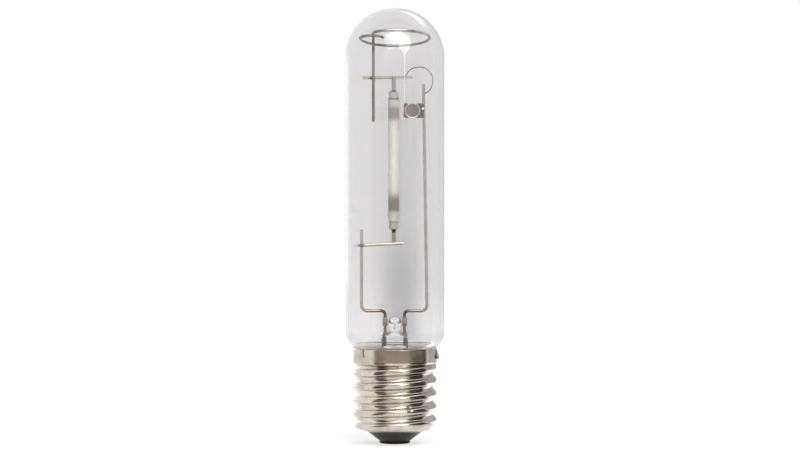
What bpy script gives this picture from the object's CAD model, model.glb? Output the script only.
"""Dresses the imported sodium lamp: blown glass, rolled cap, wire frame, arc tube, getter and stage."""

import math

import bmesh
import bpy
from bpy.props import FloatProperty, FloatVectorProperty, IntProperty, PointerProperty
from mathutils import Matrix, Vector, noise


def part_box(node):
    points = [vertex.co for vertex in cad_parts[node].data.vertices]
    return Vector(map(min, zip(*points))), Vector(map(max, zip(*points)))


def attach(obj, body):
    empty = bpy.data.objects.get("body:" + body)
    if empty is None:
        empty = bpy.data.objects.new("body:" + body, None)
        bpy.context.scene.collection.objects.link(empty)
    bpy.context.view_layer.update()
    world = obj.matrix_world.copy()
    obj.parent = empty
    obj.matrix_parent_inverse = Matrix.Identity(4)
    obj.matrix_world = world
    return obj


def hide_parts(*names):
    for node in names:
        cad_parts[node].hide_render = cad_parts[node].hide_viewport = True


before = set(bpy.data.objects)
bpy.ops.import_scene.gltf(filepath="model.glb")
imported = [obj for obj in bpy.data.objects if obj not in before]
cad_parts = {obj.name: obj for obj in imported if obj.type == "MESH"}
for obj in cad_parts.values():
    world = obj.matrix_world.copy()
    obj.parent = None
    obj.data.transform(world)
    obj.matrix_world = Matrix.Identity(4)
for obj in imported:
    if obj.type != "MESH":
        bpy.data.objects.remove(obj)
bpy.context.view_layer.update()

bl_info = {
    "name": "Sodium Lamp",
    "version": (1, 0, 0),
    "blender": (4, 5, 0),
    "location": "View3D > Sidebar > Lamp",
    "description": "Builds the visible pieces and finishes of a tubular sodium lamp round its solids",
    "category": "Add Mesh",
}

MM = 0.001
FRONT = -90.0  # azimuth that faces the camera, degrees from +X

# Rounds of the stem's glass, in mm: radius, half depth that it is pressed flat to, and drop below its top.
STEM_ROUNDS = (
    (0.0, 0.0, 40.6), (1.8, 1.8, 40.0), (2.5, 2.5, 38.6), (2.5, 2.5, 16.2),  # sealed exhaust tube
    (5.3, 5.0, 15.9), (6.2, 4.4, 15.2), (6.4, 3.7, 14.4), (6.4, 3.5, 13.4),  # round tube to flat press
    (6.4, 3.5, 10.8), (6.2, 3.5, 10.3), (4.8, 3.4, 8.8), (3.4, 3.1, 7.5),  # press and its shoulders
    (2.9, 2.9, 6.8), (2.8, 2.8, 6.0), (3.0, 3.0, 4.8), (3.0, 3.0, 0.2),  # boss
    *((0.4 * i, 0.4 * i, 0.0) for i in range(7, -1, -1)),  # its top, which the mouth hollows
)
# Rounds of the glass that creeps up each lead-in rod, in the same order.
COLLAR_ROUNDS = (
    (0.0, 0.0, 10.4), (1.8, 1.8, 10.2), (1.5, 1.5, 9.0), (1.1, 1.1, 7.8), (0.8, 0.8, 7.1), (0.0, 0.0, 7.0),
)
SLOTS = (-8.0, 223.0)  # azimuths of the slots in the shell's rim, degrees from +X
RIM_LIP = 0.3 * MM  # height of the rim's turned-in edge
# Corners of the lit panel whose mirror image runs down the dome, as azimuth and elevation in degrees.
KEY_PANEL = (
    (-28, 54), (18, 63), (45, 35.5), (34, 22), (28, 14), (24.3, 8), (22.8, 4.3),
    (21.8, 4.3), (20.5, 8), (17.5, 14), (12, 22), (5, 31.5), (-5, 31),
)


# Colours, sizes and nodes

def linear(code):
    """An sRGB hex colour as linear red, green, blue and alpha."""
    shares = [int(code[i:i + 2], 16) / 255 for i in (1, 3, 5)]
    return (*(c / 12.92 if c <= 0.04045 else ((c + 0.055) / 1.055) ** 2.4 for c in shares), 1.0)


def length(name, mm, description):
    """Setting for a length, written in millimetres."""
    return FloatProperty(
        name=name, description=description, default=mm * MM, min=0, unit="LENGTH", precision=5
    )


def colour(name, code, description):
    """Setting for a colour, written as an sRGB hex value."""
    return FloatVectorProperty(
        name=name, description=description, default=linear(code)[:3], size=3, subtype="COLOR", min=0, max=1
    )


def per(mm):
    """Scale at which a pattern repeats about every so many millimetres."""
    return 1 / (mm * MM)


def add(tree, kind, inputs=None, stops=None, **settings):
    """Adds a node with its settings and inputs. A node given as an input links its first output.

    stops are a ramp's places, each with a hex value or a colour setting.
    A Map Range's inputs 1 to 4 are the least and most that it takes, and the least and most that it gives.
    """
    node = tree.nodes.new("ShaderNode" + kind)
    for key, value in settings.items():
        setattr(node, key, value)
    for key, value in (inputs or {}).items():
        if isinstance(value, bpy.types.Node):
            value = value.outputs[0]
        if isinstance(value, bpy.types.NodeSocket):
            tree.links.new(value, node.inputs[key])
        else:
            node.inputs[key].default_value = value
    while stops and len(node.color_ramp.elements) < len(stops):
        node.color_ramp.elements.new(1.0)
    for element, (place, value) in zip(node.color_ramp.elements if stops else (), stops or ()):
        element.position = place
        element.color = linear(value) if isinstance(value, str) else (*value, 1.0)
    return node


def start(name):
    """A new material's node tree and its object coordinates, in metres."""
    material = bpy.data.materials.new(name)
    material.use_nodes = True
    material.node_tree.nodes.clear()
    return material, material.node_tree, add(material.node_tree, "TexCoord").outputs["Object"]


def close(tree, shader):
    """Ends a material in its surface shader."""
    add(tree, "OutputMaterial", {"Surface": shader})


# Meshes

def model(name, verts, faces, material):
    """Adds a mesh object."""
    mesh = bpy.data.meshes.new(name)
    mesh.from_pydata(verts, [], faces)
    mesh.materials.append(material)
    thing = bpy.data.objects.new(name, mesh)
    bpy.context.scene.collection.objects.link(thing)
    return thing


def put(name, verts, faces, material, slot, *nodes, crease=35.0):
    """Adds a mesh piece that stands for CAD nodes and stays with the lamp."""
    piece = model(name, verts, faces, material)
    mesh = piece.data
    bm = bmesh.new()
    bm.from_mesh(mesh)
    bmesh.ops.recalc_face_normals(bm, faces=bm.faces)
    bm.to_mesh(mesh)
    bm.free()
    mesh.shade_smooth()
    mesh.set_sharp_from_angle(angle=math.radians(crease))
    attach(piece, "root")
    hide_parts(*nodes)
    return piece


def dress(material, *nodes):
    """Gives CAD nodes their finish."""
    for node in nodes:
        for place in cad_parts[node].material_slots:
            place.material = material


def grid(rings, closed):
    """Faces between rings of vertex numbers. A ring of one vertex is a pole."""
    faces = []
    for low, high in zip(rings, rings[1:] + rings[:1] if closed else rings[1:]):
        count = max(len(low), len(high))
        for i in range(count if count > 1 else 0):
            j = (i + 1) % count
            corners = [low[i % len(low)], low[j % len(low)], high[j % len(high)], high[i % len(high)]]
            faces.append(list(dict.fromkeys(corners)))
    return faces


def arc(centre, radius, start_angle, end_angle, steps):
    """Points of an arc in a half section, angles in degrees."""
    angles = [math.radians(start_angle + (end_angle - start_angle) * i / steps) for i in range(steps + 1)]
    return [(centre[0] + radius * math.cos(a), centre[1] + radius * math.sin(a)) for a in angles]


def wire(path, radii, sides):
    """Mesh of a round wire along a path of points, a radius at each, with its cut ends softened."""
    path = [Vector(p) for p in path]
    steps = [(b - a).normalized() for a, b in zip(path, path[1:])]
    ways = [steps[0]] + [(a + b).normalized() for a, b in zip(steps, steps[1:])] + [steps[-1]]
    soft = 0.2  # share of the radius that a cut end is rounded by
    first, last, end = soft * radii[0], soft * radii[-1], len(path) - 1
    spots = [(path[0], 0.0, 0), (path[0], radii[0] - first, 0), (path[0] + ways[0] * first, radii[0], 0)]
    spots += [(path[i], radii[i], i) for i in range(1, end)]
    spots += [(path[end] - ways[end] * last, radii[end], end)]
    spots += [(path[end], radii[end] - last, end), (path[end], 0.0, end)]
    side = ways[0].orthogonal().normalized()
    verts, rings = [], []
    for point, reach, i in spots:
        side = (side - ways[i] * side.dot(ways[i])).normalized()
        across = ways[i].cross(side)
        turns = sides if reach else 1
        rings.append(list(range(len(verts), len(verts) + turns)))
        for step in range(turns):
            angle = 2 * math.pi * step / sides
            verts.append(point + reach * (side * math.cos(angle) + across * math.sin(angle)))
    return verts, grid(rings, closed=False)


def loft(rounds, steps, centre=(0.0, 0.0), closed=False):
    """Mesh over level rounds of (radius, half depth that they are pressed flat to, height)."""
    verts, rings = [], []
    for wide, deep, height in rounds:
        turns = steps if wide > 1e-7 else 1
        rings.append(list(range(len(verts), len(verts) + turns)))
        for step in range(turns):
            angle = 2 * math.pi * step / turns
            flat = max(-deep, min(deep, wide * math.sin(angle)))
            verts.append((centre[0] + wide * math.cos(angle), centre[1] + flat, height))
    return verts, grid(rings, closed)


def lathe(profile, steps):
    """Mesh of a closed profile of (radius, height) points turned round the Z axis."""
    return loft([(radius, radius, height) for radius, height in profile], steps, closed=True)


def joined(*meshes):
    """Vertices and faces of several meshes together."""
    verts, faces = [], []
    for more, sides in meshes:
        faces += [[i + len(verts) for i in face] for face in sides]
        verts += more
    return verts, faces


def shoulder_bend(sizes, radius):
    """Turn of the bulb's shoulder in degrees, and the centre of the bend between shoulder and neck."""
    reach = sizes.shoulder_radius + sizes.neck_bend
    turn = math.acos(1 - (radius - sizes.neck_radius) / reach)
    centre = (sizes.neck_radius + sizes.neck_bend, sizes.shoulder_height - reach * math.sin(turn))
    return math.degrees(turn), centre


def watched(tree):
    """Light path node, and the share of rays that the camera sees straight or by metal or glass."""
    light = add(tree, "LightPath")
    seen = light.outputs["Is Camera Ray"]
    for kind in ("Is Glossy Ray", "Is Transmission Ray"):
        seen = add(tree, "Math", {0: seen, 1: light.outputs[kind]}, operation="MAXIMUM")
    return light, seen


# Property groups

class LampSizes(bpy.types.PropertyGroup):
    """Sizes that the solids' boxes don't give."""

    bulb_wall: length("Bulb wall", 1.2, "Thickness of the blown glass")
    shoulder_radius: length("Shoulder radius", 9.0, "Outer radius where the bulb turns in to its neck")
    neck_radius: length("Neck radius", 16.4, "Outer radius of the neck inside the cap")
    neck_bend: length("Neck bend", 3.0, "Outer radius of the bend between shoulder and neck")
    shoulder_height: length("Shoulder height", 52.79, "Height of the shoulder's centre")
    bulb_steps: IntProperty(name="Bulb steps", default=224, min=32, description="Sides of the bulb")

    stem_radius: length("Stem radius", 6.4, "Outer radius of the stem's tube")
    stem_bore: length("Stem bore", 5.2, "Inner radius of the stem's tube")

    thread_pitch: length("Thread pitch", 6.35, "Rise of the knuckle thread in one turn")
    thread_depth: length("Thread depth", 1.8, "Crest to root of the knuckle thread")
    thread_radius: length("Thread radius", 19.65, "Crest radius of the knuckle thread")
    thread_crest: length("Thread crest", 10.85, "Height of the lowest crest on the +X side")
    skirt_bottom: length("Skirt bottom", 38.6, "Height where the plain skirt starts")
    taper_bottom: length("Taper bottom", 36.7, "Height where the skirt runs out behind the thread")
    taper_radius: length("Taper radius", 17.55, "Radius where the skirt runs out behind the thread")
    mouth_radius: length("Mouth radius", 13.3, "Radius of the shell's lower opening")
    shell_wall: length("Shell wall", 0.45, "Thickness of the rolled sheet")
    shell_round: length("Shell round", 3.0, "Radius of the lower end's rounded corner")
    notch_width: length("Notch width", 0.8, "Width of the slots in the rim")
    notch_depth: length("Notch depth", 3.6, "Depth of the slots in the rim")
    dent_depth: length("Dent depth", 0.35, "Depth of the punch mark on the thread")
    shell_steps: IntProperty(name="Shell steps", default=200, min=48, description="Sides of the shell")

    coil_wire: length("Coil wire", 0.6, "Wire of the electrode coils")
    coil_turns: IntProperty(name="Coil turns", default=10, min=2, description="Turns of each electrode coil")


class LampColours(bpy.types.PropertyGroup):
    """Colours of the lamp's finishes."""

    glass: colour("Glass", "#F2F1F1", "Light that one wall of the bulb lets through")
    glass_body: colour("Glass body", "#D2D2D6", "Light left after a centimetre of it")
    stem: colour("Stem glass", "#FCFCFC", "Light that one face of the stem lets through")
    stem_body: colour("Stem glass body", "#F9F9F9", "Light left after a centimetre of it")
    nickel: colour("Nickel", "#DAD2C8", "Plated shell where it is bright")
    nickel_worn: colour("Nickel, worn", "#BAB0A4", "Plated shell where it is dull")
    insulator: colour("Insulator", "#171717", "Moulded black glass")
    brass: colour("Brass", "#2C261D", "Stamped centre contact")
    solder: colour("Solder", "#B9BABB", "Set solder")
    cement: colour("Cement", "#FBF6EC", "Baked capping cement")
    alumina: colour("Alumina", "#FFFEFB", "Sintered arc tube")
    plug: colour("Plug", "#CDCBB8", "Sintered plugs of the arc tube")
    seal: colour("Seal", "#1C1B1A", "Melted sealing glass")
    niobium: colour("Niobium", "#B4B4B2", "Drawn feedthroughs")
    frame_wire: colour("Frame wire", "#C4C3C0", "Drawn posts")
    bar_wire: colour("Crossbar wire", "#D6D3C0", "Bright drawn crossbars")
    getter: colour("Getter", "#7A7876", "Stamped getter strip")
    getter_powder: colour("Getter powder", "#98918A", "Powder pressed into the getter's dish")


# Finishes

def clear_glass(name, tint, body, wave_mm, wave):
    """Clear glass set from the melt: sharp reflections that bend slowly, and grey seen edge on."""
    material, tree, place = start(name)
    waves = add(tree, "TexNoise", {"Vector": place, "Scale": per(wave_mm), "Detail": 1.0})
    bump = add(tree, "Bump", {"Height": waves, "Strength": 1.0, "Distance": wave * MM})
    glass = add(tree, "BsdfPrincipled", {
        "Base Color": (*tint, 1.0),
        "Roughness": 0.0,
        "IOR": 1.47,
        "Transmission Weight": 1.0,
        "Normal": bump,
    })
    light = add(tree, "LightPath")
    # Light falls through the glass onto what is inside.
    passing = {0: light.outputs["Is Shadow Ray"], 1: light.outputs["Is Diffuse Ray"]}
    let_by = add(tree, "Math", passing, operation="MAXIMUM")
    clear = add(tree, "BsdfTransparent")
    both = add(tree, "MixShader", {0: let_by, 1: glass, 2: clear})
    grey = add(tree, "VolumeAbsorption", {"Color": (*body, 1.0), "Density": per(10.0)})
    add(tree, "OutputMaterial", {"Surface": both, "Volume": grey})
    return material


def rolled_nickel(colours):
    """Nickel-plated brass, rolled: mirror-like with a soft haze, a fine stipple and dull patches."""
    material, tree, place = start("Nickel-plated brass, rolled")
    patches = add(tree, "TexNoise", {"Vector": place, "Scale": per(9.0), "Detail": 4.0, "Roughness": 0.6})
    stops = [(0.35, colours.nickel_worn), (0.62, colours.nickel)]
    tone = add(tree, "ValToRGB", {"Fac": patches}, stops)
    haze = add(tree, "MapRange", {"Value": patches, 1: 0.3, 2: 0.7, 3: 0.24, 4: 0.14})
    # The rolls' stipple is too fine to show, so it is drawn coarser.
    stipple = add(tree, "TexNoise", {"Vector": place, "Scale": per(0.7), "Detail": 2.0})
    bump = add(tree, "Bump", {"Height": stipple, "Strength": 0.5, "Distance": 0.02 * MM})
    finish = {"Base Color": tone, "Metallic": 1.0, "Roughness": haze, "Normal": bump}
    close(tree, add(tree, "BsdfPrincipled", finish))
    return material


def drawn_wire(name, tones, roughness, low=0.0, high=0.0, welds=(), stain_mm=3.0, spread=0.03):
    """Drawn or stamped metal: fine lines along it, tints from heat, and scorch marks at its welds.

    The tones run from a low to a high height in mm, stained in spots of so many mm by a spread of that run.
    """
    material, tree, place = start(name)
    height = add(tree, "SeparateXYZ", {"Vector": place}).outputs["Z"]
    share = add(tree, "MapRange", {"Value": height, 1: low * MM, 2: max(high, low + 1) * MM})
    stain = add(tree, "TexNoise", {"Vector": place, "Scale": per(stain_mm), "Detail": 3.0})
    moved = add(tree, "Math", {0: stain, 1: spread, 2: share}, operation="MULTIPLY_ADD")
    tone = add(tree, "ValToRGB", {"Fac": moved}, stops=tones)
    for weld in welds:
        away = add(tree, "VectorMath", {0: place, 1: weld}, operation="DISTANCE")
        ring = {"Value": away.outputs["Value"], 1: 0.9 * MM, 2: 2.2 * MM, 3: 0.85, 4: 0.0}
        scorch = add(tree, "MapRange", ring)
        burnt = add(tree, "Mix", {0: scorch, 6: tone, 7: linear("#4C4A48")}, data_type="RGBA")
        tone = burnt.outputs[2]
    # The die's lines are too fine to show, so they are drawn coarser.
    lines = add(tree, "Mapping", {"Vector": place, "Scale": (per(0.25), per(0.25), per(6.0))})
    grain = add(tree, "TexNoise", {"Vector": lines, "Scale": 1.0, "Detail": 2.0})
    bump = add(tree, "Bump", {"Height": grain, "Strength": 0.4, "Distance": 0.02 * MM})
    haze = add(tree, "MapRange", {"Value": stain, 3: roughness - 0.08, 4: roughness + 0.08})
    finish = {"Base Color": tone, "Metallic": 1.0, "Roughness": haze, "Normal": bump}
    close(tree, add(tree, "BsdfPrincipled", finish))
    return material


def pressed_powder(name, tone, grain_mm, contrast, roughness, depth):
    """Powder, ceramic or cement: dull, with grains that vary in tone and catch the light."""
    material, tree, place = start(name)
    # The real grains are too fine to show, so they are drawn coarser.
    coarse = {"Vector": place, "Scale": per(grain_mm), "Detail": 5.0, "Roughness": 0.65}
    grains = add(tree, "TexNoise", coarse)
    stops = [(0.3, [c * (1 - contrast) for c in tone]), (0.7, tone)]
    shades = add(tree, "ValToRGB", {"Fac": grains}, stops)
    bump = add(tree, "Bump", {"Height": grains, "Strength": 0.8, "Distance": depth * MM})
    finish = {"Base Color": shades, "Roughness": roughness, "Normal": bump}
    close(tree, add(tree, "BsdfPrincipled", finish))
    return material


def sintered_tube(colours, low, high):
    """Translucent alumina, sintered: milky, so that its inside shows soft, and grey at its electrodes."""
    material, tree, place = start("Alumina, sintered translucent")
    # The crystals are too fine to show, so they are drawn coarser.
    grains = add(tree, "TexNoise", {"Vector": place, "Scale": per(0.8), "Detail": 3.0})
    haze = add(tree, "MapRange", {"Value": grains, 3: 0.26, 4: 0.34})
    height = add(tree, "SeparateXYZ", {"Vector": place}).outputs["Z"]
    share = add(tree, "MapRange", {"Value": height, 1: low, 2: high})
    blur = add(tree, "Math", {0: grains, 1: 0.02, 2: share}, operation="MULTIPLY_ADD")
    milk = colours.alumina
    tone = add(tree, "ValToRGB", {"Fac": blur}, stops=[
        (0.075, milk), (0.1, "#BEB8B0"), (0.18, "#B8B0A8"), (0.25, milk),
        (0.82, milk), (0.85, "#D0CAC4"), (0.92, "#CCC6C0"), (0.95, milk),
        (0.99, milk), (1.0, "#A0A096"),
    ])
    finish = {"Base Color": tone, "Roughness": haze, "IOR": 1.6, "Transmission Weight": 0.6}
    shader = add(tree, "BsdfPrincipled", finish)
    shadow = add(tree, "LightPath").outputs["Is Shadow Ray"]
    clear = add(tree, "BsdfTransparent", {"Color": linear("#D8D8D4")})
    close(tree, add(tree, "MixShader", {0: shadow, 1: shader, 2: clear}))
    return material


def moulded_black_glass(colours):
    """Black glass, moulded: deep and glossy, with faint rings where it flowed."""
    material, tree, place = start("Black glass, moulded")
    flow = add(tree, "Mapping", {"Vector": place, "Scale": (per(6.0), per(6.0), per(0.7))})
    rings = add(tree, "TexNoise", {"Vector": flow, "Scale": 1.0, "Detail": 3.0})
    stops = [(0.35, colours.insulator), (0.75, [1.6 * c for c in colours.insulator])]
    tone = add(tree, "ValToRGB", {"Fac": rings}, stops)
    bump = add(tree, "Bump", {"Height": rings, "Strength": 0.6, "Distance": 0.1 * MM})
    finish = {"Base Color": tone, "Roughness": 0.22, "IOR": 1.52, "Normal": bump}
    close(tree, add(tree, "BsdfPrincipled", finish))
    return material


# Operators

class LAMP_OT_bulb(bpy.types.Operator):
    """Blows the outer bulb: dome, tube, shoulder and neck in one even wall"""

    bl_idname = "lamp.bulb"
    bl_label = "Outer Bulb"

    def execute(self, context):
        sizes, colours = context.scene.lamp_sizes, context.scene.lamp_colours
        low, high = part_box("outer_bulb")
        radius = (high.x - low.x) / 2
        turn, bend = shoulder_bend(sizes, radius)
        shoulder = (radius - sizes.shoulder_radius, sizes.shoulder_height)
        dome = (0.0, high.z - radius)

        def face(inset):
            tube = radius - inset
            points = arc(dome, tube, 90, 0, 56)
            points += [(tube, dome[1] + (shoulder[1] - dome[1]) * i / 40) for i in range(1, 40)]
            points += arc(shoulder, sizes.shoulder_radius - inset, 0, -turn, 24)
            points += arc(bend, sizes.neck_bend + inset, 180 - turn, 180, 12)[1:]
            return points + [(sizes.neck_radius - inset, low.z)]

        profile = face(0) + face(sizes.bulb_wall)[::-1]
        glass = clear_glass("Borosilicate glass, blown", colours.glass, colours.glass_body, 22.0, 0.012)
        put("blown_bulb", *lathe(profile, sizes.bulb_steps), glass, "bulb_glass", "outer_bulb")
        return {"FINISHED"}


class LAMP_OT_stem(bpy.types.Operator):
    """Presses the glass stem round its lead-in rods: flare, tube, press, collars and the hollow boss"""

    bl_idname = "lamp.stem"
    bl_label = "Glass Stem"

    def execute(self, context):
        sizes, colours = context.scene.lamp_sizes, context.scene.lamp_colours
        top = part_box("glass_stem")[1].z
        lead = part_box("right_lead_in")
        lead_x = (lead[0].x + lead[1].x) / 2

        def at(rounds):
            return [(wide * MM, deep * MM, top - drop * MM) for wide, deep, drop in rounds]

        verts, faces = loft(at(STEM_ROUNDS), 64)
        press = [self.mouth(top, *spot) for spot in verts], faces
        collars = [loft(at(COLLAR_ROUNDS), 32, (side * lead_x, 0.0)) for side in (-1, 1)]
        pieces = joined(press, self.tube(sizes, top), *collars)
        glass = clear_glass("Lead glass, pressed", colours.stem, colours.stem_body, 5.0, 0.03)
        stem = put("pressed_stem", *pieces, glass, "stem_glass", "glass_stem")
        fuse = stem.modifiers.new("Fuse", "REMESH")
        fuse.mode, fuse.voxel_size, fuse.use_smooth_shade = "VOXEL", 0.23 * MM, True
        soften = stem.modifiers.new("Soften", "SMOOTH")
        soften.factor, soften.iterations = 0.5, 3
        # Swaged tungsten goes brown where the sealing flame reached it, and stays grey inside the glass.
        heated = [(0.4, "#6A6662"), (0.5, "#75614C"), (0.65, "#98806A")]
        rods = drawn_wire("Tungsten, swaged", heated, 0.42, 41.0, 58.0)
        dress(rods, "left_lead_in", "right_lead_in")
        return {"FINISHED"}

    def mouth(self, top, x, y, z):
        """Lowers a point of the boss's top to the mouth, which is hollow and slants down to the front."""
        boss, depth, drop, slant = 3.0 * MM, 1.6 * MM, 1.7 * MM, 0.55
        reach = min(math.hypot(x, y) / boss, 1)
        return (x, y, min(z, top - drop + slant * y - depth * (1 - reach ** 2)))

    def tube(self, sizes, top):
        """Tube of the stem, from inside the press down to the flare that meets the bulb's neck."""
        lip, turn = 15.2 * MM, top - 19.6 * MM
        inside = top - 14.4 * MM
        outer = arc((lip, turn), lip - sizes.stem_radius, 180, 270, 16)
        inner = arc((lip, turn), lip - sizes.stem_bore, 270, 180, 16)
        edge = [(sizes.neck_radius, outer[-1][1]), (sizes.neck_radius, inner[0][1])]
        return lathe([(sizes.stem_radius, inside), *outer, *edge, *inner, (sizes.stem_bore, inside)], 96)


class LAMP_OT_shell(bpy.types.Operator):
    """Rolls the screw shell: rounded lower end, knuckle thread, skirt, rim and its two slots"""

    bl_idname = "lamp.shell"
    bl_label = "Screw Shell"

    def execute(self, context):
        sizes, colours = context.scene.lamp_sizes, context.scene.lamp_colours
        low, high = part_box("screw_shell")
        skirt = (high.x - low.x) / 2
        half = math.degrees(sizes.notch_width / 2 / skirt)
        edges = [(s + side * half) % 360 for s in SLOTS for side in (-1, 1)]
        step = 360 / sizes.shell_steps
        even = [i * step for i in range(sizes.shell_steps)]
        columns = sorted(edges + [a for a in even if all(abs(a - e) > step / 3 for e in edges)])
        rows = self.rows(sizes, low.z, high.z)
        dent, dent_height, dent_reach = math.radians(FRONT + 22), 17.3 * MM, 1.1 * MM
        wave = 0.03 * MM  # unevenness that the rolling leaves
        verts = []
        for limit, z in rows:
            for degrees in columns:
                angle = math.radians(degrees)
                radius = self.radius(sizes, skirt, high.z, limit, z, angle)
                gap = ((angle - dent + math.pi) % (2 * math.pi) - math.pi) * radius
                near = (gap ** 2 + (z - dent_height) ** 2) / dent_reach ** 2
                radius -= sizes.dent_depth * math.exp(-near)
                spot = Vector((math.cos(angle), math.sin(angle), z * 60)) * 2.5  # a few waves to a turn
                radius += wave * noise.noise(spot)
                verts.append((radius * math.cos(angle), radius * math.sin(angle), z))
        count, faces = len(columns), []
        floor = high.z - sizes.notch_depth - 1e-6
        for row in range(len(rows) - 1):
            for i in range(count):
                j = (i + 1) % count
                middle = (columns[i] + ((columns[j] - columns[i]) % 360) / 2) % 360
                in_slot = any(abs((middle - s + 180) % 360 - 180) < half for s in SLOTS)
                if not (in_slot and rows[row][1] >= floor):
                    here, above = row * count, (row + 1) * count
                    faces.append([here + i, here + j, above + j, above + i])
        shell = put("rolled_shell", verts, faces, rolled_nickel(colours), "nickel_plate", "screw_shell")
        sheet = shell.modifiers.new("Sheet", "SOLIDIFY")
        sheet.thickness, sheet.offset = sizes.shell_wall, -1
        return {"FINISHED"}

    def rows(self, sizes, bottom, top):
        """Limit radius and height of each ring of the sheet, from the mouth up to the rim."""
        slope, flank, inset = math.radians(15), math.radians(70), 0.95 * MM
        corner_r = sizes.thread_radius - inset
        corner = (corner_r, bottom + (corner_r - sizes.mouth_radius) * math.tan(slope))
        back = sizes.shell_round * math.tan((flank - slope) / 2)
        touch = (corner[0] - back * math.cos(slope), corner[1] - back * math.sin(slope))
        across, up = sizes.shell_round * math.sin(slope), sizes.shell_round * math.cos(slope)
        centre = (touch[0] - across, touch[1] + up)
        rows = [(sizes.mouth_radius + (touch[0] - sizes.mouth_radius) * i / 6,
                 bottom + (touch[1] - bottom) * i / 6) for i in range(6)]
        rows += arc(centre, sizes.shell_round, math.degrees(slope) - 90, math.degrees(flank) - 90, 16)
        last_r, last_z = rows[-1]
        out = 0.1 * MM
        rows += [(last_r + i * out, last_z + i * out * math.tan(flank)) for i in range(1, 9)]
        z, rise = rows[-1][1], 0.2 * MM
        count = math.ceil((sizes.skirt_bottom - z) / rise)
        free = 1.0  # too wide to limit the sheet
        rows += [(free, z + (sizes.skirt_bottom - z) * i / count) for i in range(1, count + 1)]
        notch = top - sizes.notch_depth
        rows += [(free, sizes.skirt_bottom + (notch - sizes.skirt_bottom) * i / 8) for i in range(1, 9)]
        rows += [(free, notch + (top - RIM_LIP - notch) * i / 8) for i in range(1, 9)]
        return rows + [(free, top - RIM_LIP / 2), (free, top - RIM_LIP / 6), (free, top)]

    def radius(self, sizes, skirt, top, limit, z, angle):
        """Radius of the sheet's outer face: the thread's arcs, kept within the lower end and the skirt."""
        throw, quarter = sizes.thread_depth / 2, sizes.thread_pitch / 4
        knuckle = (quarter ** 2 + throw ** 2) / (2 * throw)
        turns = angle / (2 * math.pi) - (z - sizes.thread_crest) / sizes.thread_pitch
        off = abs((turns + 0.5) % 1 - 0.5) * sizes.thread_pitch
        fall = knuckle - math.sqrt(knuckle ** 2 - min(off, 2 * quarter - off) ** 2)
        thread = sizes.thread_radius - (fall if off < quarter else sizes.thread_depth - fall)
        soft = 0.5 * MM
        near = max(soft - abs(thread - limit), 0) / soft
        radius = min(thread, limit) - near ** 2 * soft / 4
        if z <= sizes.taper_bottom:
            return radius
        up = min((z - sizes.taper_bottom) / (sizes.skirt_bottom - sizes.taper_bottom), 1)
        side = sizes.taper_radius + (skirt - sizes.taper_radius) * math.sin(up * math.pi / 2)
        if up == 1:
            turned_in = 0.12 * MM
            return skirt - turned_in * max(1 - (top - z) / RIM_LIP, 0) ** 2
        near = max(soft - abs(radius - side), 0) / soft
        return min(max(radius, side) + near ** 2 * soft / 4, skirt)


class LAMP_OT_contacts(bpy.types.Operator):
    """Dresses the insulator, the centre contact, the cement and the outer leads with their solder"""

    bl_idname = "lamp.contacts"
    bl_label = "Insulator and Contacts"

    def execute(self, context):
        sizes, colours = context.scene.lamp_sizes, context.scene.lamp_colours
        dress(moulded_black_glass(colours), "cap_insulator")
        # Stamped brass, tarnished: dark brown with a soft shine.
        brass = drawn_wire("Brass, stamped", [(0.0, "#211B14"), (0.02, colours.brass)], 0.38)
        dress(brass, "contact_plate")
        # Solder set in air: pale grey and half dull.
        solder = drawn_wire("Tin solder, set", [(0.0, "#8E8F90"), (0.5, colours.solder)], 0.42)
        dress(solder, "contact_solder")
        self.lump(solder)
        self.cement(sizes, colours)
        # Tinned copper: a bright, faintly warm grey.
        leads = drawn_wire("Copper, tinned", [(0.0, "#A7A29A"), (0.5, "#C6C2BA")], 0.3)
        dress(leads, "side_lead", "centre_lead")
        return {"FINISHED"}

    def lump(self, solder):
        """Uneven lump of solder over the side lead."""
        low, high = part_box("side_solder")
        middle, reach = (low + high) / 2, (high - low) / 2
        verts, faces = lathe(arc((0.0, 0.0), 1.0, -90, 90, 18), 36)
        uneven = 0.08
        lumps = [Vector(v) * (1 - uneven + uneven * noise.noise(Vector(v) * 1.9)) for v in verts]
        put("solder_lump", [middle + v * reach for v in lumps], faces, solder, "tin_solder", "side_solder")

    def cement(self, sizes, colours):
        """Cement between the skirt and the neck, which clears the glass by a hair and follows its bend."""
        low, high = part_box("capping_cement")
        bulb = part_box("outer_bulb")
        _, bend = shoulder_bend(sizes, (bulb[1].x - bulb[0].x) / 2)
        reach, gap, mound = (high.x - low.x) / 2, 0.05 * MM, 1.2 * MM
        profile = [(sizes.neck_radius + gap, low.z), (reach, low.z), (reach, high.z + mound)]
        profile += arc(bend, sizes.neck_bend - gap, 118, 180, 10)
        # Baked cement: pale and dry, with a coarse grain.
        cement = pressed_powder("Cement, baked", colours.cement, 1.2, 0.15, 0.9, 0.3)
        put("packed_cement", *lathe(profile, 128), cement, "cement", "capping_cement")


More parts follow.
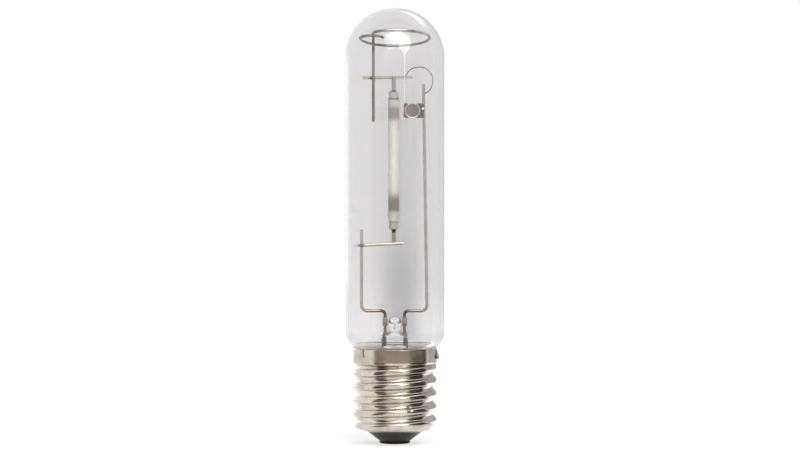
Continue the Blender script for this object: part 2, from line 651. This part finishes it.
class LAMP_OT_frame(bpy.types.Operator):
    """Dresses the posts, the weld sleeves, the crossbars, the spring ring and the flexible lead"""

    bl_idname = "lamp.frame"
    bl_label = "Wire Frame"

    def execute(self, context):
        colours = context.scene.lamp_colours
        # Plated wire: bright, straw coloured by heat towards its foot, and dark at its bends there.
        bends = [(side * x * MM, 0, z * MM) for side in (-1, 1) for x, z in ((5.0, 60.6), (5.6, 62.0))]
        posts = drawn_wire("Nickel-plated iron wire, drawn", [
            (0.03, "#8F8060"), (0.06, "#A39678"), (0.09, "#BAB296"), (0.14, "#B8BAB0"),
            (0.25, "#BEBAB5"), (0.34, "#C0B4AC"), (0.46, colours.frame_wire),
        ], 0.25, 56.0, 170.0, bends, spread=0.01)
        dress(posts, "left_post", "right_post")
        # Pressed steel: grey and half dull.
        sleeves = drawn_wire("Steel sleeve, pressed", [(0.0, "#7E7A78"), (0.5, "#A4A0A0")], 0.4, 55.0, 60.0)
        dress(sleeves, "left_weld_sleeve", "right_weld_sleeve")
        # Plated spring wire: olive grey, with light and dark stains from its heating round the ring.
        ring = drawn_wire("Nickel-plated spring wire, drawn", [
            (0.2, "#90907C"), (0.6, "#96968E"), (0.77, "#A4A49E"), (0.84, "#62625E"),
            (0.9, "#94948C"), (0.95, "#C8C8B6"),
        ], 0.28, 150.0, 219.0, stain_mm=9.0, spread=0.5)
        dress(ring, "top_support_ring")
        self.bars(colours)
        # Annealed nickel: dull grey.
        flex = drawn_wire("Nickel lead, annealed", [(0.0, "#77776F"), (0.5, "#8C8C84")], 0.4, 165.0, 180.0)
        dress(flex, "flex_lead")
        return {"FINISHED"}

    def bars(self, colours):
        """Both crossbars, the lower one with its left end drawn to a point."""
        low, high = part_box("lower_crossbar")
        post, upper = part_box("left_post"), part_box("upper_crossbar")
        post_wire, inset, weld_height = 0.75 * MM, 0.75 * MM, 1.1 * MM
        middle, radius = (low.y + high.y) / 2, (high.y - low.y) / 2
        welds = [(post[0].x + post_wire, middle, low.z + weld_height), upper[0].lerp(upper[1], 0.17)]
        # Bright nickel: pale and faintly warm, scorched at its welds.
        bright = [(0.3, "#C6C3B0"), (0.6, colours.bar_wire)]
        bars = drawn_wire("Nickel wire, drawn bright", bright, 0.34, welds=welds)
        dress(bars, "upper_crossbar")
        tip, far = Vector((low.x, middle, low.z + inset)), Vector((high.x, middle, high.z - inset))
        steps, tapered, point = 48, 9, 0.3
        path = [tip.lerp(far, i / steps) for i in range(steps + 1)]
        radii = [radius * min(point + (1 - point) * i / tapered, 1) for i in range(steps + 1)]
        put("tapered_crossbar", *wire(path, radii, 24), bars, "bar_wire", "lower_crossbar")


class LAMP_OT_arc_tube(bpy.types.Operator):
    """Dresses the arc tube with its plugs, seals and feedthroughs, and winds the electrode coils"""

    bl_idname = "lamp.arc_tube"
    bl_label = "Arc Tube"

    def execute(self, context):
        sizes, colours = context.scene.lamp_sizes, context.scene.lamp_colours
        low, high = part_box("arc_tube")
        dress(sintered_tube(colours, low.z, high.z), "arc_tube")
        # Sintered alumina that lets no light through: off-white and dull.
        plugs = pressed_powder("Alumina, sintered white", colours.plug, 0.5, 0.2, 0.55, 0.05)
        dress(plugs, "lower_end_plug", "upper_end_plug")
        # Melted sealing glass: a dark line with a soft gloss.
        seals = pressed_powder("Sealing glass, melted", colours.seal, 0.6, 0.4, 0.3, 0.05)
        dress(seals, "lower_seal_ring", "upper_seal_ring")
        # Drawn niobium: bright grey, dark where the sealing glass wetted it.
        tones = [(0.0, "#8E8E8C"), (0.75, colours.niobium), (0.78, "#0C0C0C")]
        lower = drawn_wire("Niobium, drawn, sealed at its top", tones, 0.24, 94.0, 100.9, spread=0.01)
        dress(lower, "lower_niobium_tube")
        tones = [(0.04, "#3E3E36"), (0.1, colours.niobium)]
        upper = drawn_wire("Niobium, drawn, sealed at its foot", tones, 0.24, 165.8, 172.0, spread=0.01)
        dress(upper, "upper_niobium_tube")
        # Wound tungsten: dark grey, dulled by the arc.
        hot = drawn_wire("Tungsten, wound", [(0.0, "#4E4A46"), (0.5, "#6E6862")], 0.45)
        dress(hot, "lower_electrode_rod", "upper_electrode_rod")
        for end in ("lower", "upper"):
            self.coil(sizes, hot, f"{end}_wound_coil", f"{end}_electrode_coil")
        # Amalgam set from the melt: a bright bead.
        dose = drawn_wire("Sodium amalgam, set", [(0.0, "#9A9AA0"), (0.5, "#C4C4C8")], 0.2)
        dress(dose, "amalgam_dose")
        return {"FINISHED"}

    def coil(self, sizes, metal, name, node):
        """Winds an electrode's coil as one wire."""
        low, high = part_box(node)
        middle, size, thick = (low + high) / 2, high - low, sizes.coil_wire / 2
        reach, rise, facets = size.x / 2 - thick, size.z - 2 * thick, 24
        path = []
        for i in range(facets * sizes.coil_turns + 1):
            turn = 2 * math.pi * i / facets
            height = low.z + thick + rise * i / (facets * sizes.coil_turns)
            path.append((middle.x + reach * math.cos(turn), middle.y + reach * math.sin(turn), height))
        put(name, *wire(path, [thick] * len(path), 10), metal, "tungsten", node)


class LAMP_OT_getter(bpy.types.Operator):
    """Stamps the getter's strip and its rimmed dish with the pressed powder"""

    bl_idname = "lamp.getter"
    bl_label = "Getter"

    def execute(self, context):
        self.strip(context.scene.lamp_colours)
        self.dish(context.scene.lamp_colours)
        return {"FINISHED"}

    def strip(self, colours):
        """Strip with rounded corners, and the nugget of its weld."""
        low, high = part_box("getter_plate")
        corner, verts = 0.8 * MM, []
        left, right, foot, head = low.x + corner, high.x - corner, low.z + corner, high.z - corner
        for face_y in (low.y, high.y):
            for x, z, turn in ((right, head, 0), (left, head, 90), (left, foot, 180), (right, foot, 270)):
                verts += [(px, face_y, pz) for px, pz in arc((x, z), corner, turn, turn + 90, 6)]
        half = len(verts) // 2
        faces = [list(range(half)), list(range(half, 2 * half))]
        faces += [[i, (i + 1) % half, half + (i + 1) % half, half + i] for i in range(half)]
        sheet = len(faces)
        wide, proud, inset, lift = 0.6 * MM, 0.22 * MM, 0.62 * MM, 0.9 * MM
        round_top = arc((0.0, 0.0), 1.0, 0, 90, 8) + [(0.0, 0.0)]
        dome, sides = lathe([(r * wide, h * proud) for r, h in round_top], 24)
        spot = Matrix.Translation((high.x - inset, low.y, (low.z + high.z) / 2 + lift))
        dome = [spot @ Matrix.Rotation(math.pi / 2, 4, "X") @ Vector(v) for v in dome]
        verts, faces = joined((verts, faces), (dome, sides))
        # Stamped steel, flashed: dark grey and half dull.
        steel = drawn_wire("Getter steel, stamped", [(0.0, "#6A6A6C"), (0.5, colours.getter)], 0.42)
        plate = put("getter_strip", verts, faces, steel, "getter_steel", "getter_plate", crease=20)
        # Melted weld: a small bright bead.
        plate.data.materials.append(drawn_wire("Weld nugget, melted", [(0.0, "#F2F0EC")], 0.3))
        for face in plate.data.polygons[sheet:]:
            face.material_index = 1
        edge = plate.modifiers.new("Edge", "BEVEL")
        edge.width, edge.segments = 0.07 * MM, 2

    def dish(self, colours):
        """Round dish with a rolled rim, and the powder pressed into it."""
        low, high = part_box("getter_disc")
        radius, deep = (high.x - low.x) / 2, high.y - low.y
        rim, edge, sunk, foot, fillet = 0.22 * MM, 0.1 * MM, 0.5 * MM, 0.42 * MM, 0.15 * MM
        inside = radius - 2 * rim
        profile = [(0.0, 0.0), (radius - edge, 0.0), (radius, edge)]
        profile += arc((radius - rim, deep - rim), rim, 0, 180, 12)
        profile += [(inside, deep - foot), (inside - fillet, deep - sunk)]
        profile += [(inside * share, deep - sunk + lift * MM) for share, lift in (
            (0.86, 0.03), (0.72, 0.06), (0.66, 0.02), (0.58, 0.06), (0.4, 0.09), (0.2, 0.1), (0.0, 0.1),
        )]
        verts, faces = lathe(profile, 72)
        back = Matrix.Translation(((low.x + high.x) / 2, high.y, (low.z + high.z) / 2))
        verts = [back @ Matrix.Rotation(math.pi / 2, 4, "X") @ Vector(v) for v in verts]
        # Spun steel: a bright rolled rim.
        spun = drawn_wire("Getter dish, spun steel", [(0.0, "#A09C98"), (0.5, "#CAC6C2")], 0.2)
        dish = put("getter_dish", verts, faces, spun, "getter_powder", "getter_disc")
        # Pressed powder: dull brown-grey with coarse grains.
        powder = pressed_powder("Getter powder, pressed", colours.getter_powder, 0.4, 0.35, 0.7, 0.08)
        dish.data.materials.append(powder)
        for face in dish.data.polygons:
            reach = (Vector(face.center) - back.translation).xz.length
            face.material_index = int(reach < inside - edge and face.center.y < high.y - edge)


class LAMP_OT_stage(bpy.types.Operator):
    """Sets up the pale floor, the white surround, the softboxes, the cards and the camera"""

    bl_idname = "lamp.stage"
    bl_label = "Stage"

    def execute(self, context):
        # Light crosses many walls of glass, one behind another.
        context.scene.cycles.max_bounces = 24
        context.scene.cycles.transmission_bounces = 24
        self.surround(context)
        self.floor()
        target = Vector((0, 0, 0.11))
        self.softbox("key_softbox", (0.12, -0.73, 0.78), target, 1.0, 0.7, 10.0)
        rim = self.softbox("rim_softbox", (0.55, 0.72, 0.85), target, 0.7, 0.5, 5.0)
        rim.visible_transmission = False
        # Dark flanks that the plated cap mirrors.
        self.wall("left_dark_card", "#1E1A15", (-58, -22), (-0.275, 0.35), (0.1, 0.17, 0.05, 0.2))
        self.wall("right_dark_card", "#14120F", (33, 97), (-0.275, 0.35), (0.2, 0.08, 0.05, 0.2))
        # Warm middle tones on the cap, lighter at its skirt's sides, and a filter that dims the key on it.
        self.wall("front_dim_card", "#9A907A", (-57, 64), (0.001, 0.085), (0.03, 0.25, 0, 0.25), 0.28)
        skirt = (0.014, 0.06)
        self.wall("skirt_right_card", "#8A8470", (36, 100), skirt, (0.15, 0.5, 0.2, 0.3), 0.265, 1.3)
        self.wall("skirt_left_card", "#9C9480", (-60, -20), skirt, (0.08, 0.2, 0.2, 0.3), 0.265, 1.4)
        self.wall("cap_filter", "#84817A", (-30, 50), (0.05, 0.13), (0.3, 0.3, 0.25, 0.25), 0.07, 0)
        # Shade behind the bulb, which only rays through its glass see.
        back, ray = (173.6, 184.4), "Is Transmission Ray"
        self.wall("shaded_backdrop", "#E6E6E7", back, (0.03, 0.21), (0.5, 0.5, 0.25, 0.3), 0.25, ray=ray)
        self.wall("low_backdrop", "#D6D6D8", back, (0.0, 0.105), (0.5, 0.5, 0.2, 0.35), 0.24, ray=ray)
        # Pale and grey edges on the glass, and the streaks of light along its rims.
        self.wall("left_glow", "#FFFFFF", (-166, -116), (0.005, 0.3), (0.1, 0.5, 0.1, 0.3), 1.2, 1.6)
        self.wall("right_grey_card", "#C6C4C6", (99, 179), (-0.2, 0.5), (0.05, 0.02, 0.2, 0.2))
        self.wall("floor_glow", "#FFFFFF", (100, 150), (-0.265, -0.205), (0.3, 0.3, 0.3, 0.3), 0.3, 4.0)
        self.wall("rim_glow", "#FFFFFF", (112, 180), (0.45, 1.4), (0.4, 0.4, 0.4, 0.4), 0.9, 4.5)
        self.glow("key_glow", "#FFFDF4", 7.0, KEY_PANEL)
        self.camera(context)
        context.scene.view_settings.view_transform = "Standard"
        return {"FINISHED"}

    def surround(self, context):
        """White where the camera, metal and glass see it, and dimmer as light on the lamp."""
        world = bpy.data.worlds.new("White surround")
        context.scene.world = world
        world.use_nodes = True
        tree = world.node_tree
        tree.nodes.clear()
        _, seen = watched(tree)
        level = add(tree, "MapRange", {"Value": seen, 3: 0.4, 4: 1.0})
        white = add(tree, "Background", {"Color": (1, 1, 1, 1), "Strength": level})
        add(tree, "OutputWorld", {"Surface": white})

    def floor(self):
        """Matt floor that runs out to white, mirrors darker under the cap, and is clear from below."""
        material, tree, place = start("Floor, matt white")
        grain = add(tree, "TexNoise", {"Vector": place, "Scale": per(4.0), "Detail": 2.0})
        tone = add(tree, "ValToRGB", {"Fac": grain}, stops=[(0.3, "#9E9E9E"), (0.7, "#A2A2A2")])
        matt = add(tree, "BsdfDiffuse", {"Color": tone})
        light, seen = watched(tree)
        away = add(tree, "VectorMath", {0: place}, operation="LENGTH").outputs["Value"]
        paler = {"Value": away, 1: 0.1, 2: 0.9, 3: 0.68, 4: 0.863}
        level = add(tree, "MapRange", paler, interpolation_type="SMOOTHSTEP")
        under = add(tree, "MapRange", {"Value": away, 1: 0.01, 2: 0.02, 3: 0.5, 4: 1.0})
        under = add(tree, "Math", {0: light.outputs["Is Camera Ray"], 1: under}, operation="MAXIMUM")
        level = add(tree, "Math", {0: under, 1: level}, operation="MULTIPLY")
        level = add(tree, "Math", {0: seen, 1: level}, operation="MULTIPLY")
        glow = add(tree, "Emission", {"Strength": level})
        both = add(tree, "AddShader", {0: matt, 1: glow})
        far = add(tree, "MapRange", {"Value": away, 1: 2.0, 2: 14.0}, interpolation_type="SMOOTHSTEP")
        below = add(tree, "NewGeometry").outputs["Backfacing"]
        gone = add(tree, "Math", {0: far, 1: below}, operation="MAXIMUM")
        clear = add(tree, "BsdfTransparent")
        close(tree, add(tree, "MixShader", {0: gone, 1: both, 2: clear}))
        reach, depth = 30.0, -0.2 * MM
        corners = [(x * reach, y * reach, depth) for x, y in ((-1, -1), (1, -1), (1, 1), (-1, 1))]
        model("floor", corners, [range(4)], material)

    def softbox(self, name, place, target, width, height, watts):
        """Area light, hidden from the camera and from mirror images."""
        data = bpy.data.lights.new(name, "AREA")
        data.shape = "RECTANGLE"
        data.size, data.size_y, data.energy = width, height, watts
        box = bpy.data.objects.new(name, data)
        box.location = place
        box.rotation_euler = (Vector(place) - target).to_track_quat("Z", "Y").to_euler()
        box.visible_camera = box.visible_glossy = False
        bpy.context.scene.collection.objects.link(box)
        return box

    def card(self, name, code, strength, verts, faces, fades, ray="Is Reflection Ray"):
        """Card that one kind of ray sees, solid by its fade at each vertex. No strength makes a filter."""
        material, tree, _ = start(f"Card, {name}")
        seen = add(tree, "LightPath").outputs[ray]
        fade = add(tree, "Attribute", attribute_name="fade").outputs["Fac"]
        mask = add(tree, "Math", {0: seen, 1: fade}, operation="MULTIPLY")
        if strength:
            face = add(tree, "Emission", {"Color": linear(code), "Strength": strength})
        else:
            face = add(tree, "BsdfTransparent", {"Color": linear(code)})
        clear = add(tree, "BsdfTransparent")
        close(tree, add(tree, "MixShader", {0: mask, 1: clear, 2: face}))
        card = model(name, verts, faces, material)
        card.data.attributes.new("fade", "FLOAT", "POINT").data.foreach_set("value", fades)
        card.visible_camera = card.visible_diffuse = card.visible_shadow = False

    def wall(self, name, code, azimuths, heights, soft, away=0.3, strength=1.0, ray="Is Reflection Ray"):
        """Curved card round the lamp, by azimuth from the camera, heights and distance in metres.

        soft is the share that fades at its left, right, foot and top. Below the floor it runs in along it.
        """
        count, clearance = 24, 0.002
        verts, fades = [], []
        for i in range(count + 1):
            for j in range(count + 1):
                across, up = i / count, j / count
                angle = math.radians(azimuths[0] + (azimuths[1] - azimuths[0]) * across)
                height = heights[0] + (heights[1] - heights[0]) * up
                reach = away + min(height, 0)
                verts.append((reach * math.sin(angle), -reach * math.cos(angle), max(height, clearance)))
                edges = (across, 1 - across, up, 1 - up)
                shares = [min(edge / width, 1) for edge, width in zip(edges, soft) if width]
                fades.append(math.prod(share ** 2 * (3 - 2 * share) for share in shares))
        row = count + 1
        faces = [[i * row + j, (i + 1) * row + j, (i + 1) * row + j + 1, i * row + j + 1]
                 for i in range(count) for j in range(count)]
        self.card(name, code, strength, verts, faces, fades, ray)

    def glow(self, name, code, strength, corners):
        """Lit panel of a softbox, by azimuth from the camera and elevation."""
        middle, away = Vector((0, 0, 0.12)), 0.9
        verts = []
        for azimuth, elevation in corners:
            a, e = math.radians(azimuth), math.radians(elevation)
            way = Vector((math.sin(a) * math.cos(e), -math.cos(a) * math.cos(e), math.sin(e)))
            verts.append(middle + away * way)
        self.card(name, code, strength, verts, [list(range(len(verts)))], [1.0] * len(verts))

    def camera(self, context):
        """Long lens from the front, a little above the lamp's middle."""
        data = bpy.data.cameras.new("camera")
        data.lens, data.sensor_width = 114.5, 36.0
        camera = bpy.data.objects.new("camera", data)
        side = 2.45 * MM
        camera.location = (side, -1200 * MM, 126 * MM)
        aim = Vector((side, 0, 102.4 * MM)) - camera.location
        camera.rotation_euler = aim.to_track_quat("-Z", "Y").to_euler()
        context.scene.collection.objects.link(camera)
        context.scene.camera = camera


OPERATORS = (
    LAMP_OT_bulb,
    LAMP_OT_stem,
    LAMP_OT_shell,
    LAMP_OT_contacts,
    LAMP_OT_frame,
    LAMP_OT_arc_tube,
    LAMP_OT_getter,
    LAMP_OT_stage,
)


class LAMP_PT_pieces(bpy.types.Panel):
    """Lists what builds the lamp, and its sizes and colours"""

    bl_idname = "LAMP_PT_pieces"
    bl_label = "Sodium Lamp"
    bl_space_type = "VIEW_3D"
    bl_region_type = "UI"
    bl_category = "Lamp"

    def draw(self, context):
        for operator in OPERATORS:
            self.layout.operator(operator.bl_idname)
        for group in (context.scene.lamp_sizes, context.scene.lamp_colours):
            for key in group.__annotations__:
                self.layout.prop(group, key)


CLASSES = (LampSizes, LampColours, *OPERATORS, LAMP_PT_pieces)


def register():
    for cls in CLASSES:
        bpy.utils.register_class(cls)
    bpy.types.Scene.lamp_sizes = PointerProperty(type=LampSizes)
    bpy.types.Scene.lamp_colours = PointerProperty(type=LampColours)


def unregister():
    del bpy.types.Scene.lamp_colours
    del bpy.types.Scene.lamp_sizes
    for cls in reversed(CLASSES):
        bpy.utils.unregister_class(cls)


def main():
    register()
    bpy.ops.lamp.bulb()
    bpy.ops.lamp.stem()
    bpy.ops.lamp.shell()
    bpy.ops.lamp.contacts()
    bpy.ops.lamp.frame()
    bpy.ops.lamp.arc_tube()
    bpy.ops.lamp.getter()
    bpy.ops.lamp.stage()


if __name__ == "__main__":
    main()
